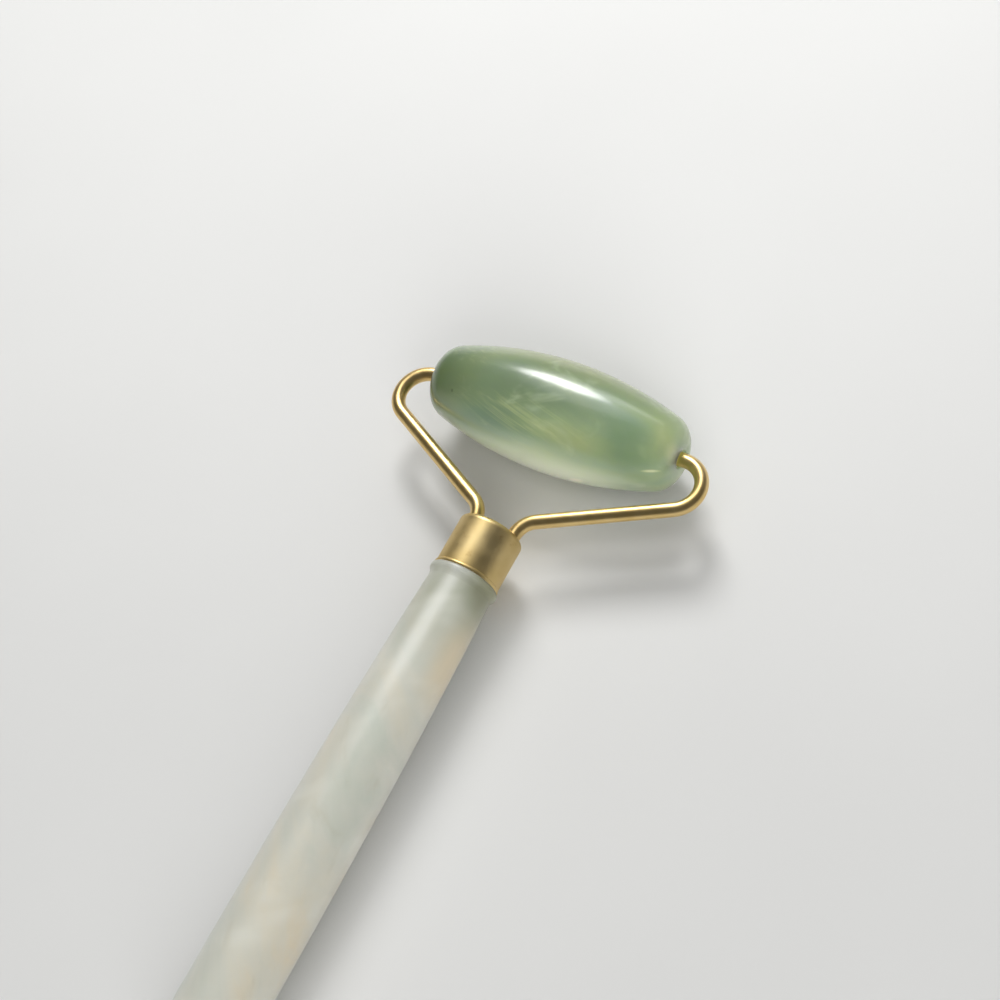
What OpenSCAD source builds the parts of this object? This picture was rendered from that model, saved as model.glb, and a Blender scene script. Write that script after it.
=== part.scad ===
// Jade face roller: a barrel stone that turns on the sprung ends of a bent wire fork.
// The fork's root is glued into a brass ferrule, and the ferrule caps a carved jade handle.
// It lies as it rests on a table: the axle along X, the head towards +Y, the table at Z = 0.

/* [Stone] */
// Length of the barrel stone along its axle
stone_len = 42; // [36:0.5:50]
// Largest diameter of the stone, at the middle of its length
stone_d = 17.5; // [16:0.1:22]
// Radius of the long belly arc
belly_r = 60; // [50:1:90]
// Radius of the shoulder arcs between the belly and the end faces
shoulder_r = 4; // [3:0.25:5]
// Width of the chamfer round each mouth of the bore
mouth_chamfer = 0.15; // [0.1:0.05:0.4]

/* [Bearing sleeves] */
// Length of each sleeve
sleeve_len = 9; // [6:0.5:14]
// Wall of each sleeve
sleeve_wall = 0.25; // [0.2:0.05:0.5]
// Depth of each sleeve below the stone's end face
sleeve_recess = 0.6; // [0.4:0.1:2]

/* [Fork] */
// Diameter of the fork wire
wire_d = 2.2; // [1.8:0.05:2.6]
// Length of each wire end inside the stone
pin_len = 9.5; // [5:0.5:12]
// Chamfer on the tips of the wire
tip_chamfer = 0.25; // [0.1:0.05:0.4]
// Gap between a stone end and the start of the return bend beside it
side_gap = 0.7; // [0.4:0.1:2]
// Centreline radius of the return bends beside the stone
return_r = 4.2; // [3.6:0.1:5.5]
// Centreline radius of the bends above the ferrule
leg_bend_r = 3.7; // [3:0.1:4.5]
// Distance of each leg from the handle's axis
leg_offset = 3.4; // [2.8:0.05:3.45]
// Height of the leg bends' start above the ferrule's top face
leg_rise = 0.3; // [0.1:0.1:1]
// Straight length of each leg below the ferrule's top face
leg_depth = 1.4; // [1:0.1:2]
// Distance from the axle to the ferrule's top face
axle_height = 20.8; // [18:0.1:26]

/* [Ferrule] */
// Outer diameter of the ferrule
ferrule_d = 10.1; // [9.9:0.05:11]
// Length of the ferrule
ferrule_len = 8.7; // [8.4:0.1:12]
// Wall of the ferrule's skirt
ferrule_wall = 0.35; // [0.25:0.05:0.45]
// Thickness of the ferrule's closed top
ferrule_roof = 0.6; // [0.4:0.05:0.9]
// Radius of the ferrule's rounded top edge
ferrule_edge_r = 0.9; // [0.5:0.1:1.4]
// Radius of the rolled lip round the ferrule's mouth
lip_r = 0.5; // [0.35:0.05:0.6]
// How far the rolled lip stands out from the skirt
lip_proud = 0.16; // [0.08:0.02:0.2]

/* [Handle] */
// Length of the handle below the ferrule
handle_len = 84; // [70:1:100]
// Length of the spigot inside the ferrule
spigot_len = 2.3; // [1.5:0.1:2.5]
// Chamfer round the spigot's top
spigot_chamfer = 0.4; // [0.2:0.1:0.6]
// Diameter of the collar bead under the ferrule
collar_d = 10.9; // [10.7:0.1:12]
// Distance of the collar's widest place below the collar's top face
collar_drop = 0.5; // [0.3:0.05:0.6]
// Radius of the collar bead's round rim
collar_rim_r = 0.7; // [0.6:0.05:1]
// Radius of the cove that runs from the collar into the neck
cove_r = 1.6; // [1:0.1:2.5]
// Diameter of the neck below the collar
neck_d = 9.95; // [9.6:0.05:10.6]
// Diameter of the handle at its widest
swell_d = 12.1; // [11.4:0.1:14]
// Distance of the widest place below the ferrule
swell_at = 62; // [50:1:66]
// Half length of the ellipse that the grip follows
swell_span = 80; // [70:1:120]
// Radius of the rounded edge at the butt
butt_edge_r = 2.6; // [1.5:0.1:3.5]

/* [Fits] */
// Radial running clearance of the wire ends in the sleeves
running_clear = 0.05; // [0.02:0.01:0.1]
// Adhesive film between glued faces
glue_film = 0.05; // [0.03:0.01:0.06]

/* [Hidden] */
$fn = 96;
// Sides of the circles behind the long arcs of the stone and the handle
long_arc_fn = 240;
// Reach of a cutting shape past the face that it cuts
past = 1;
// How far a rounded edge stands past the exact tangent, so that it crosses its neighbours
edge_lap = 0.005;
// How far each bend of the wire runs into the straight length beside it
bend_lap = 0.05;
// Thinning of the wire's radius in its bends
bend_thinning = 0.01;

JADE = [0.56, 0.64, 0.50];
PALE_JADE = [0.79, 0.78, 0.72];
BRASS = [0.80, 0.66, 0.36];
NYLON = [0.90, 0.89, 0.85];
RESIN = [0.83, 0.78, 0.62];

// Radii
wire_r = wire_d / 2;
sleeve_bore_r = wire_r + running_clear;
sleeve_r = sleeve_bore_r + sleeve_wall;
stone_bore_r = sleeve_r + glue_film;
ferrule_r = ferrule_d / 2;
cavity_r = ferrule_r - ferrule_wall;

// Heights on the handle's axis, from the axle at zero towards the butt below it
half_len = stone_len / 2;
ferrule_top = -axle_height;
ferrule_mouth = ferrule_top - ferrule_len;
collar_top = ferrule_mouth - glue_film;
spigot_top = ferrule_mouth + spigot_len;
swell_z = ferrule_mouth - swell_at;
butt_z = ferrule_mouth - handle_len;
loop_z = ferrule_top - leg_depth;

// Centres of the collar's rim and of the cove that touches both the rim and the neck
rim_centre = [collar_d / 2 - collar_rim_r, collar_top - collar_drop];
cove_x = neck_d / 2 + cove_r;
cove_fall = sqrt((collar_rim_r + cove_r) ^ 2 - (cove_x - rim_centre[0]) ^ 2);
cove_centre = [cove_x, rim_centre[1] - cove_fall];
collar_bottom = cove_centre[1];

// Ellipse of the grip: how far it bulges, and its radius at a distance from the widest place
neck_reach = collar_bottom - swell_z;
bulge = (swell_d - neck_d) / 2 / (1 - ellipse(neck_reach));
function ellipse(y) = sqrt(1 - (y / swell_span) ^ 2);
function grip_r(y) = swell_d / 2 - bulge * (1 - ellipse(y));

// Centres of the edge arcs of the stone's shoulders and of the butt, from the axis
shoulder_x = stone_d / 2 - belly_r + sqrt((belly_r - shoulder_r) ^ 2 - (half_len - shoulder_r) ^ 2);
butt_reach = swell_z - butt_z;
butt_x = grip_r(butt_reach - butt_edge_r) - butt_edge_r;

// Fork bends on the right side, as [x, height], and the arm that is tangent to both
return_centre = [half_len + side_gap, -return_r];
leg_centre = [leg_offset + leg_bend_r, ferrule_top + leg_rise];
between = return_centre - leg_centre;
arm_angle = atan2(between[1], between[0]) - asin((return_r + leg_bend_r) / norm(between));
arm_normal = [-sin(arm_angle), cos(arm_angle)];
arm_start = leg_centre + leg_bend_r * arm_normal;
arm_end = return_centre - return_r * arm_normal;

// Resting slope: the table touches the stone's belly and the rounded edge of the butt
butt_centre = [-butt_z - butt_edge_r, butt_x];
butt_r = butt_edge_r + edge_lap;
rest_angle = asin((stone_d / 2 - butt_r) / norm(butt_centre)) - atan2(butt_centre[1], butt_centre[0]);

// The object's two ends along Y lie at the same distance from the origin
butt_y = -butt_centre[0] * cos(rest_angle) - butt_centre[1] * sin(rest_angle) - butt_r;
axle_y = -(stone_d / 2 + butt_y) / 2;

// Lays a shape built on the handle's axis down on the table
module at_rest() {
    translate([0, axle_y, stone_d / 2])
        rotate([rest_angle - 90, 0, 0])
            children();
}

// Turns a shape built along Z so that it lies along the axle
module along_axle() {
    rotate([0, 90, 0]) children();
}

// Quarter disc whose square corner is at the origin
module quarter_disc(r) {
    intersection() {
        circle(r = r);
        square(2 * r);
    }
}

// Rounded edge and flat end of a turned body at y = reach, over a core out to the edge's centre
module rounded_end(edge_x, reach, edge_r) {
    square([edge_x, reach]);
    intersection() {
        translate([edge_x, reach - edge_r]) circle(r = edge_r + edge_lap);
        square([edge_x + 2 * edge_r, reach]);
    }
}

// Chamfered mouth of the stone's bore, at the upper end of its outline
module bore_mouth() {
    mouth_r = stone_bore_r + mouth_chamfer;
    polygon([
        [0, half_len - mouth_r],
        [mouth_r, half_len],
        [mouth_r + past, half_len + past],
        [0, half_len + past]
    ]);
}

module stone_outline() {
    belly_reach = (half_len - shoulder_r) * belly_r / (belly_r - shoulder_r);
    difference() {
        union() {
            intersection() {
                translate([stone_d / 2 - belly_r, 0]) circle(r = belly_r, $fn = long_arc_fn);
                translate([shoulder_x / 2, -belly_reach]) square([stone_d, 2 * belly_reach]);
            }
            rounded_end(shoulder_x, half_len, shoulder_r);
            mirror([0, 1]) rounded_end(shoulder_x, half_len, shoulder_r);
        }
        translate([0, -half_len - past]) square([stone_bore_r, stone_len + 2 * past]);
        bore_mouth();
        mirror([0, 1]) bore_mouth();
    }
}

module roller_stone() {
    color(JADE) at_rest() along_axle() rotate_extrude() stone_outline();
}

// Bearing sleeve on the side given by -1 or 1
module sleeve(side) {
    inner_end = half_len - sleeve_recess - sleeve_len;
    color(NYLON) at_rest() rotate([0, 90 * side, 0]) translate([0, 0, inner_end]) difference() {
        cylinder(r = sleeve_r, h = sleeve_len);
        translate([0, 0, -past]) cylinder(r = sleeve_bore_r, h = sleeve_len + 2 * past);
    }
}

module left_sleeve() {
    sleeve(-1);
}

module right_sleeve() {
    sleeve(1);
}

// Straight length of wire between two [x, height] points
module wire_run(from, to, r) {
    run = to - from;
    translate([from[0], 0, from[1]])
        rotate([0, atan2(run[0], run[1]), 0])
            cylinder(r = r, h = norm(run));
}

// Wire bend about an [x, height] centre, from a start angle through a sweep
module wire_bend(centre, bend_r, start, sweep, r) {
    lap_angle = bend_lap / bend_r * 180 / PI;
    translate([centre[0], 0, centre[1]])
        rotate([90, 0, 0])
            rotate([0, 0, start - lap_angle])
                rotate_extrude(angle = sweep + 2 * lap_angle)
                    translate([bend_r, 0]) circle(r = r - bend_thinning);
}

// One side of the fork above the ferrule: leg bend, arm, return bend and the wire end in the stone
module fork_side() {
    pin_tip = half_len - pin_len;
    wire_run([leg_offset, loop_z], [leg_offset, leg_centre[1]], wire_r);
    wire_bend(leg_centre, leg_bend_r, 90 + arm_angle, 90 - arm_angle, wire_r);
    wire_run(arm_start, arm_end, wire_r);
    wire_bend(return_centre, return_r, arm_angle - 90, 180 - arm_angle, wire_r);
    along_axle() {
        translate([0, 0, pin_tip + tip_chamfer])
            cylinder(r = wire_r, h = return_centre[0] - pin_tip - tip_chamfer);
        translate([0, 0, pin_tip])
            cylinder(r1 = wire_r - tip_chamfer, r2 = wire_r, h = tip_chamfer);
    }
}

// The loop that joins both legs inside the ferrule
module fork_loop(r) {
    wire_bend([0, loop_z], leg_offset, 180, 180, r);
}

module fork_wire() {
    color(BRASS) at_rest() {
        fork_side();
        mirror([1, 0, 0]) fork_side();
        fork_loop(wire_r);
    }
}

// The stretch of both legs between two heights
module legs(low, high, r) {
    for (side = [-1, 1])
        wire_run([side * leg_offset, low], [side * leg_offset, high], r);
}

module ferrule_outline() {
    body_len = ferrule_len - ferrule_edge_r;
    difference() {
        union() {
            translate([0, ferrule_mouth]) square([ferrule_r, body_len]);
            translate([0, ferrule_top - ferrule_edge_r])
                square([ferrule_r - ferrule_edge_r, ferrule_edge_r]);
            translate([ferrule_r - ferrule_edge_r, ferrule_top - ferrule_edge_r])
                quarter_disc(ferrule_edge_r);
            intersection() {
                translate([ferrule_r + lip_proud - lip_r, ferrule_mouth + lip_r / 2]) circle(r = lip_r);
                translate([0, ferrule_mouth]) square([2 * ferrule_r, body_len]);
            }
        }
        translate([0, ferrule_mouth - past])
            square([cavity_r, ferrule_len - ferrule_roof + past]);
    }
}

module ferrule() {
    color(BRASS) at_rest() difference() {
        rotate_extrude() ferrule_outline();
        legs(loop_z, ferrule_top + past, wire_r + glue_film);
    }
}

module adhesive_fill() {
    fill_top = ferrule_top - ferrule_roof - glue_film;
    fill_bottom = spigot_top + glue_film;
    color(RESIN) at_rest() difference() {
        translate([0, 0, fill_bottom]) cylinder(r = cavity_r - glue_film, h = fill_top - fill_bottom);
        legs(loop_z, ferrule_top, wire_r + glue_film);
        fork_loop(wire_r + glue_film);
    }
}

module handle_outline() {
    spigot_r = cavity_r - glue_film;
    rim_to_cove = (cove_centre - rim_centre) / (collar_rim_r + cove_r);
    // Core of the upper half with the cove, and the spigot with its chamfered top
    difference() {
        polygon([
            [0, swell_z],
            [butt_x, swell_z],
            [neck_d / 2, collar_bottom],
            rim_centre + collar_rim_r * rim_to_cove,
            rim_centre,
            [spigot_r, rim_centre[1]],
            [spigot_r, spigot_top - spigot_chamfer],
            [spigot_r - spigot_chamfer, spigot_top],
            [0, spigot_top]
        ]);
        translate(cove_centre) circle(r = cove_r + edge_lap);
    }
    // Collar bead
    intersection() {
        translate(rim_centre) circle(r = collar_rim_r);
        translate([0, collar_bottom]) square([collar_d, collar_top - collar_bottom]);
    }
    // Grip from the neck through the widest place to the rounded butt
    translate([0, swell_z]) mirror([0, 1]) {
        intersection() {
            translate([swell_d / 2 - bulge, 0])
                scale([bulge, swell_span])
                    circle(r = 1, $fn = long_arc_fn);
            translate([butt_x / 2, -neck_reach - collar_drop])
                square([swell_d, collar_drop + neck_reach + butt_reach - butt_edge_r]);
        }
        rounded_end(butt_x, butt_reach, butt_edge_r);
    }
}

module handle() {
    color(PALE_JADE) at_rest() rotate_extrude() handle_outline();
}

roller_stone();
left_sleeve();
right_sleeve();
fork_wire();
ferrule();
adhesive_fill();
handle();
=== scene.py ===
import math

import bpy
from mathutils import Matrix, Quaternion, Vector

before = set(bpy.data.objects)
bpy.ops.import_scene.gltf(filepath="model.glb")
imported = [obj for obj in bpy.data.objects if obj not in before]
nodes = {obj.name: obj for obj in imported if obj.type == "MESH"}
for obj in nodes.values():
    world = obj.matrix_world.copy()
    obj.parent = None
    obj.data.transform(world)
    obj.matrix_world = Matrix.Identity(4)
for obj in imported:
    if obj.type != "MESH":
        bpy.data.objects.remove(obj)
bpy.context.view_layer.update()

MM_PER_M = 1000
NOISE_RANGE = (0.3, 0.7)  # nearly all values of a noise texture
BLOB_RANGE = (1.0, 0.15)  # shares of a blob's reach at which it fades out and is full

# Soft zones of colour: centre and reach in millimetres in the part's frame, strength, display
# colour, and for a few the turn of their axes in degrees. Each is laid over the ones before it.
# Some are painted light or shade, as marked.
STONE_ZONES = (
    ((0.0, 60.0, 14.0), (34, 9, 11), 0.7, (126, 134, 88)),  # olive far side, darkened as painted shade on the rim
    ((-9.0, 51.0, 16.0), (16, 8, 7), 0.7, (104, 122, 92)),  # painted shade: darker top left, dimming the top light's sheen
    ((-23.0, 49.5, 12.0), (16, 14, 14), 0.95, (72, 88, 53)),  # dark olive left end
    ((-8.0, 45.8, 12.5), (10, 5, 5), 0.7, (106, 132, 114)),  # teal cloud on the left
    ((15.0, 49.0, 14.5), (7, 6.5, 5), 0.65, (120, 142, 110)),  # teal cloud on the right
    ((6.5, 46.7, 15.0), (9, 3.4, 4), 0.5, (170, 178, 132)),  # yellow between the clouds
    ((1.5, 51.4, 17.2), (16, 4, 4), 0.5, (106, 122, 96)),  # painted shade along the top, dimming the top light's sheen
    ((3.0, 43.2, 7.5), (23, 5.5, 8.5), 0.95, (220, 231, 204)),  # painted light: pale near side, a glow of light through the stone
    ((20.6, 51.2, 12.0), (1.3, 2.0, 2.4), 0.5, (200, 208, 150)),  # pale lip by the right hole
)
FLECK_AND_GLINT_TURN = (-59, 13, 29)  # level across the photograph
STONE_MARKS = (
    ((-15.0, 48.2, 14.1), (0.35, 0.4, 0.4), 0.6, (66, 80, 60)),  # dark speck
    ((18.85, 47.6, 11.65), (1.8, 2.2, 0.28), 0.75, (216, 218, 170), FLECK_AND_GLINT_TURN),  # right end
    ((6.9, 44.25, 7.0), (2.0, 2.5, 0.5), 0.9, (250, 246, 216), FLECK_AND_GLINT_TURN),  # painted glint of a chip on the near side
)
HANDLE_PEACH = (
    ((5.5, 10.0, 8.5), (4.0, 11, 6.0), 0.6, (222, 203, 168)),
)
HANDLE_ZONES = (
    ((0.4, 12.0, 12.9), (2.0, 19, 3.0), 0.45, (234, 235, 228)),  # painted highlight: pale streak on top
    ((5.2, 25.5, 9.5), (6.5, 14, 6.5), 0.8, (112, 113, 74)),  # painted shade and reflection: dark side by the ferrule
)

FIBRE_TURN = (0, 7, -14)  # degrees from the stone's axle
BUMP_STRENGTH = 0.25
JADE_BUMP = 0.00004  # metres
METAL_BUMP = 0.00001
CLEAR_IOR = 1.5

FLOOR_HALF = 6.0
LIGHT_TARGET = Vector((0, 0.03, 0.01))
BOX_DISTANCE = 0.6
SKY_DISTANCE = 1.0
# Oval lamps that show as highlights: direction, size in metres, roll in degrees, watts
SOFT_BOXES = {
    "key": ((-0.34, 0.66, 0.67), (0.28, 0.17), -40, 2.15),
    "edge": ((-0.085, 0.805, 0.588), (0.25, 0.12), 0, 0.2),
}
# Wide even lights: direction, spread in degrees, strength, whether they show as highlights
SKIES = {
    "top": ((-0.25, 0.45, 1.0), 30, 0.3, True),
    "front": ((0.2, -0.4, 1.0), 50, 0.75, False),
    "low": ((0.6, -0.75, 0.45), 40, 1.45, False),
}
# Grey levels of the studio at two heights, each a direction's vertical part
STUDIO = ((0.03, 0.55), (0.22, 0.10))

FRAME_PX = 1000
FOCAL_PX = 2000
SENSOR_MM = 36
CAMERA_RIGHT = Vector((0.849551, 0.475572, -0.228240))
CAMERA_UP = Vector((-0.314761, 0.804226, 0.504128))
CAMERA_PLACE = Vector((0.1242553, -0.0693886, 0.2557788))
CLIP_START = 0.01


def srgb(colour):
    """Linear RGBA of a display colour given in 0 to 255."""
    def linear(level):
        level /= 255
        return level / 12.92 if level <= 0.04045 else ((level + 0.055) / 1.055) ** 2.4
    return (*(linear(level) for level in colour), 1)


class Shader:
    """A node material with short helpers for procedural textures."""

    def __init__(self, name, colour, **values):
        self.material = bpy.data.materials.new(name)
        self.material.use_nodes = True
        self.material.diffuse_color = srgb(colour)
        self.tree = self.material.node_tree
        self.bsdf = next(n for n in self.tree.nodes if n.type == "BSDF_PRINCIPLED")
        self.bsdf.inputs["Base Color"].default_value = srgb(colour)
        for key, value in values.items():
            self.bsdf.inputs[key.replace("_", " ")].default_value = value
        self.coords = self.tree.nodes.new("ShaderNodeTexCoord").outputs["Object"]

    def node(self, kind, **values):
        made = self.tree.nodes.new(kind)
        for key, value in values.items():
            setattr(made, key, value)
        return made

    def link(self, source, target):
        self.tree.links.new(source, target)

    def mapping(self, kind, shift, turn, scale):
        """Object coordinates, in metres, through a Mapping node; turn is in degrees."""
        made = self.node("ShaderNodeMapping", vector_type=kind)
        made.inputs["Location"].default_value = shift
        made.inputs["Rotation"].default_value = [math.radians(angle) for angle in turn]
        made.inputs["Scale"].default_value = scale
        self.link(self.coords, made.inputs["Vector"])
        return made.outputs["Vector"]

    def place(self, scale=(1, 1, 1), turn=(0, 0, 0), shift=(0, 0, 0)):
        """Object coordinates scaled, turned and shifted."""
        return self.mapping("POINT", shift, turn, scale)

    def along(self, turn, lengths):
        """Object coordinates on turned axes, each counted in its own length in metres."""
        return self.mapping("TEXTURE", (0, 0, 0), turn, lengths)

    def noise(self, vector, scale=1.0, detail=4, rough=0.5, warp=0.0):
        made = self.node("ShaderNodeTexNoise")
        self.link(vector, made.inputs["Vector"])
        made.inputs["Scale"].default_value = scale
        made.inputs["Detail"].default_value = detail
        made.inputs["Roughness"].default_value = rough
        made.inputs["Distortion"].default_value = warp
        return made.outputs["Fac"]

    def cells(self, vector, scale):
        """Distance to the nearest of scattered points."""
        made = self.node("ShaderNodeTexVoronoi")
        self.link(vector, made.inputs["Vector"])
        made.inputs["Scale"].default_value = scale
        return made.outputs["Distance"]

    def span(self, fac, source, target):
        """fac from the first to the second of source, smoothly turned into those of target."""
        made = self.node("ShaderNodeMapRange", interpolation_type="SMOOTHSTEP")
        self.link(fac, made.inputs["Value"])
        for socket, value in zip(("From Min", "From Max", "To Min", "To Max"), source + target):
            made.inputs[socket].default_value = value
        return made.outputs["Result"]

    def blob(self, centre, reach, most, turn=(0, 0, 0)):
        """Soft ellipsoid, in millimetres, fading from most near its centre to 0 at its reach."""
        vector = self.mapping("TEXTURE", [c / MM_PER_M for c in centre], turn,
                              [r / MM_PER_M for r in reach])
        length = self.node("ShaderNodeVectorMath", operation="LENGTH")
        self.link(vector, length.inputs[0])
        return self.span(length.outputs["Value"], BLOB_RANGE, (0, most))

    def math(self, operation, a, b):
        made = self.node("ShaderNodeMath", operation=operation)
        self.link(a, made.inputs[0])
        self.link(b, made.inputs[1])
        return made.outputs["Value"]

    def ramp(self, fac, *stops):
        """Display colours at places along fac."""
        made = self.node("ShaderNodeValToRGB")
        elements = made.color_ramp.elements
        while len(elements) < len(stops):
            elements.new(0.5)
        for element, (at, colour) in zip(elements, stops):
            element.position = at
            element.color = srgb(colour)
        self.link(fac, made.inputs["Fac"])
        return made.outputs["Color"]

    def mottle(self, fac, dark, light, ends=NOISE_RANGE):
        """Two display colours blended by a noise."""
        return self.ramp(fac, (ends[0], dark), (ends[1], light))

    def tint(self, tone, fac, colour):
        """tone turned into a display colour where fac is 1."""
        made = self.node("ShaderNodeMix", data_type="RGBA")
        self.link(fac, made.inputs[0])
        self.link(tone, made.inputs[6])
        made.inputs[7].default_value = srgb(colour)
        return made.outputs[2]

    def zones(self, tone, table):
        """tone with a table's soft zones laid over it."""
        for centre, reach, most, colour, *turn in table:
            tone = self.tint(tone, self.blob(centre, reach, most, *turn), colour)
        return tone

    def colour(self, tone):
        self.link(tone, self.bsdf.inputs["Base Color"])

    def roughness(self, low, high, scale, detail):
        """Roughness that varies from low to high in a noise."""
        level = self.span(self.noise(self.coords, scale, detail), NOISE_RANGE, (low, high))
        self.link(level, self.bsdf.inputs["Roughness"])

    def bump(self, height, distance, strength=BUMP_STRENGTH):
        made = self.node("ShaderNodeBump")
        made.inputs["Strength"].default_value = strength
        made.inputs["Distance"].default_value = distance
        self.link(height, made.inputs["Height"])
        self.link(made.outputs["Normal"], self.bsdf.inputs["Normal"])


def green_jade():
    s = Shader("green_jade", (150, 164, 128), Roughness=0.34, IOR=1.6, Specular_IOR_Level=0.25,
               Subsurface_Weight=1.0, Subsurface_Scale=0.02, Subsurface_Radius=(0.9, 1.0, 0.6),
               Coat_Weight=1.0, Coat_Roughness=0.18, Coat_IOR=CLEAR_IOR)
    stretched = s.place(scale=(0.55, 1, 1), shift=(0.013, 0.021, 0.007))
    clouds = s.noise(stretched, scale=75, detail=3, rough=0.55, warp=0.5)
    tone = s.ramp(clouds, (0.30, (130, 152, 130)), (0.46, (148, 165, 130)),
                  (0.58, (160, 171, 128)), (0.72, (178, 185, 140)))
    # Colour zones; the near side's glow and the darkening along the top are painted light and shade
    tone = s.zones(tone, STONE_ZONES)

    # Bundles of fine pale fibres, nearly along the axle, most of all in the middle
    fibres = s.noise(s.along(FIBRE_TURN, (0.03, 0.0006, 0.0006)), detail=2, rough=0.6, warp=0.1)
    bundles = s.noise(s.along(FIBRE_TURN, (0.024, 0.006, 0.006)), detail=2)
    middle = s.blob((-2.0, 47.2, 15.0), (15, 4.0, 4), 1.0)
    bundles = s.math("MAXIMUM", s.span(bundles, (0.56, 0.72), (0, 0.3)), middle)
    shown = s.math("MULTIPLY", s.span(fibres, (0.46, 0.74), (0, 0.45)), bundles)
    tone = s.tint(tone, shown, (192, 198, 150))

    # Milky patches, scattered dark specks, then the speck, fleck and painted glint of the
    # photograph
    milk = s.noise(s.place(scale=(0.6, 1, 1), turn=(20, 0, 35)), scale=190, detail=3, rough=0.6,
                   warp=0.6)
    tone = s.tint(tone, s.span(milk, (0.55, 0.75), (0, 0.3)), (196, 206, 178))
    specks = s.cells(s.place(shift=(0.002, 0, 0.001)), scale=95)
    tone = s.tint(tone, s.span(specks, (0.032, 0.018), (0, 0.6)), (80, 94, 70))
    s.colour(s.zones(tone, STONE_MARKS))
    s.roughness(0.3, 0.4, scale=300, detail=3)
    s.bump(s.noise(s.place(scale=(0.6, 1, 1)), scale=260, detail=2), JADE_BUMP)
    return s.material


def pale_jade():
    s = Shader("pale_jade", (216, 214, 202), Roughness=0.38, IOR=1.6,
               Subsurface_Weight=0.9, Subsurface_Scale=0.006, Subsurface_Radius=(1.0, 0.98, 0.9),
               Coat_Weight=0.35, Coat_Roughness=0.25, Coat_IOR=CLEAR_IOR)
    clouds = s.noise(s.along((0, 0, 35), (0.010, 0.020, 0.010)), rough=0.55, warp=0.6)
    tone = s.ramp(clouds, (0.28, (195, 200, 189)), (0.45, (206, 206, 195)),
                  (0.58, (211, 208, 194)), (0.74, (217, 206, 182)))

    # Greener towards the ferrule, with a peach zone on the right below it
    axes = s.node("ShaderNodeSeparateXYZ")
    s.link(s.coords, axes.inputs["Vector"])
    tone = s.tint(tone, s.span(axes.outputs["Y"], (0.005, 0.020), (0, 0.75)), (168, 172, 155))
    tone = s.zones(tone, HANDLE_PEACH)

    bands = s.noise(s.along((0, 0, -50), (0.006, 0.015, 0.010)), detail=2, warp=0.3)
    tone = s.tint(tone, s.span(bands, (0.45, 0.75), (0, 0.4)), (230, 230, 221))
    # Painted highlight streak on top, painted shade and reflection by the ferrule
    tone = s.zones(tone, HANDLE_ZONES)
    milk = s.noise(s.along((0, 25, 20), (0.005, 0.012, 0.005)), detail=3, rough=0.6, warp=0.6)
    s.colour(s.tint(tone, s.span(milk, (0.56, 0.76), (0, 0.3)), (184, 178, 156)))
    s.roughness(0.33, 0.45, scale=300, detail=3)
    s.bump(s.noise(s.place(scale=(1, 0.5, 1)), scale=240, detail=2), JADE_BUMP)
    return s.material


def gold_wire():
    s = Shader("gold_wire", (233, 203, 138), Metallic=1.0, Roughness=0.34)
    patches = s.noise(s.coords, scale=240, detail=3, rough=0.6)
    s.colour(s.mottle(patches, (228, 195, 125), (240, 212, 152)))
    s.roughness(0.30, 0.38, scale=1300, detail=3)
    s.bump(s.noise(s.coords, scale=900, detail=2), METAL_BUMP, strength=0.2)
    return s.material


def brass():
    s = Shader("brass", (222, 196, 136), Metallic=1.0, Roughness=0.45)
    tone = s.mottle(s.noise(s.coords, scale=160, detail=3), (214, 187, 124), (230, 206, 150))
    stains = s.noise(s.coords, scale=520, rough=0.6)
    s.colour(s.tint(tone, s.span(stains, (0.60, 0.74), (0, 0.25)), (168, 124, 62)))
    s.roughness(0.40, 0.50, scale=500, detail=3)
    drawn = s.noise(s.along((0, 0, 0), (0.0005, 0.004, 0.0005)), detail=3)
    s.bump(drawn, METAL_BUMP)
    return s.material


def nylon():
    s = Shader("nylon", (226, 224, 214), Roughness=0.5)
    s.colour(s.mottle(s.noise(s.coords, scale=500, detail=3), (216, 213, 200), (232, 230, 222)))
    s.roughness(0.42, 0.58, scale=1500, detail=2)
    return s.material


def resin():
    s = Shader("resin", (206, 188, 142), Roughness=0.35)
    s.colour(s.mottle(s.noise(s.coords, scale=400, detail=3), (196, 176, 126), (214, 198, 156)))
    s.roughness(0.28, 0.44, scale=900, detail=2)
    return s.material


def floor_material():
    s = Shader("floor", (220, 220, 218), Roughness=0.6)
    s.colour(s.mottle(s.noise(s.coords, scale=9, detail=3), (218, 218, 216), (222, 222, 220),
                      ends=(0.35, 0.65)))
    return s.material


def finish_nodes():
    """Give every CAD node its material."""
    sleeve = nylon()
    finish = {
        "roller_stone": green_jade(),
        "handle": pale_jade(),
        "fork_wire": gold_wire(),
        "ferrule": brass(),
        "left_sleeve": sleeve,
        "right_sleeve": sleeve,
        "adhesive_fill": resin(),
    }
    for name, material in finish.items():
        mesh = nodes[name].data
        mesh.materials.clear()
        mesh.materials.append(material)


def add_object(name, data):
    made = bpy.data.objects.new(name, data)
    bpy.context.scene.collection.objects.link(made)
    return made


def add_floor():
    mesh = bpy.data.meshes.new("floor")
    corners = [(x * FLOOR_HALF, y * FLOOR_HALF, 0) for x, y in ((-1, -1), (1, -1), (1, 1), (-1, 1))]
    mesh.from_pydata(corners, [], [(0, 1, 2, 3)])
    mesh.materials.append(floor_material())
    floor = add_object("floor", mesh)


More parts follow.
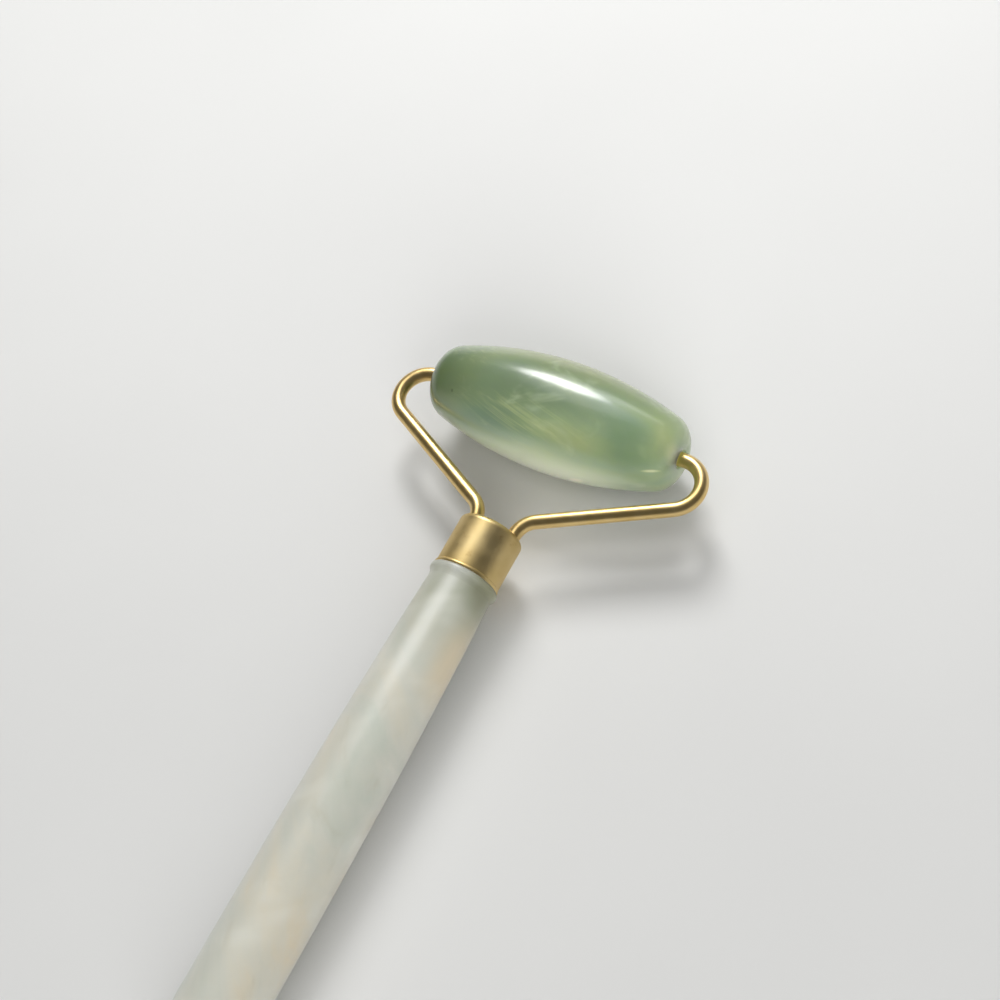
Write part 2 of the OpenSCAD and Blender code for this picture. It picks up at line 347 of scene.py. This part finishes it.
def aim_light(name, data, direction, distance, roll, glossy):
    """Place a lamp in a direction from the target, facing it."""
    light = add_object(name, data)
    light.visible_glossy = glossy
    direction = Vector(direction).normalized()
    light.location = LIGHT_TARGET + direction * distance
    turn = direction.to_track_quat("Z", "Y") @ Quaternion((0, 0, 1), math.radians(roll))
    light.rotation_euler = turn.to_euler()


def add_lights():
    for name, (direction, size, roll, watts) in SOFT_BOXES.items():
        data = bpy.data.lights.new(name, "AREA")
        data.shape = "ELLIPSE"
        data.size, data.size_y = size
        data.energy = watts
        aim_light(name, data, direction, BOX_DISTANCE, roll, True)
    for name, (direction, spread, strength, glossy) in SKIES.items():
        data = bpy.data.lights.new(name, "SUN")
        data.energy = strength
        data.angle = math.radians(spread)
        aim_light(name, data, direction, SKY_DISTANCE, 0, glossy)


def add_camera():
    """The photograph's view."""
    data = bpy.data.cameras.new("camera")
    data.sensor_fit = "HORIZONTAL"
    data.sensor_width = SENSOR_MM
    data.lens = SENSOR_MM * FOCAL_PX / FRAME_PX
    data.clip_start = CLIP_START
    camera = add_object("camera", data)
    axes = Matrix((CAMERA_RIGHT, CAMERA_UP, CAMERA_RIGHT.cross(CAMERA_UP))).transposed()
    camera.matrix_world = Matrix.Translation(CAMERA_PLACE) @ axes.to_4x4()
    bpy.context.scene.camera = camera


def add_world():
    """Dim studio that turns pale towards the horizon."""
    world = bpy.data.worlds.new("world")
    world.use_nodes = True
    tree = world.node_tree
    coords = tree.nodes.new("ShaderNodeTexCoord")
    axes = tree.nodes.new("ShaderNodeSeparateXYZ")
    shade = tree.nodes.new("ShaderNodeValToRGB")
    for element, (at, level) in zip(shade.color_ramp.elements, STUDIO):
        element.position = at
        element.color = (level, level, level, 1)
    tree.links.new(coords.outputs["Generated"], axes.inputs["Vector"])
    tree.links.new(axes.outputs["Z"], shade.inputs["Fac"])
    tree.links.new(shade.outputs["Color"], tree.nodes["Background"].inputs["Color"])
    bpy.context.scene.world = world


finish_nodes()
add_floor()
add_lights()
add_camera()
add_world()
bpy.context.scene.view_settings.view_transform = "Standard"
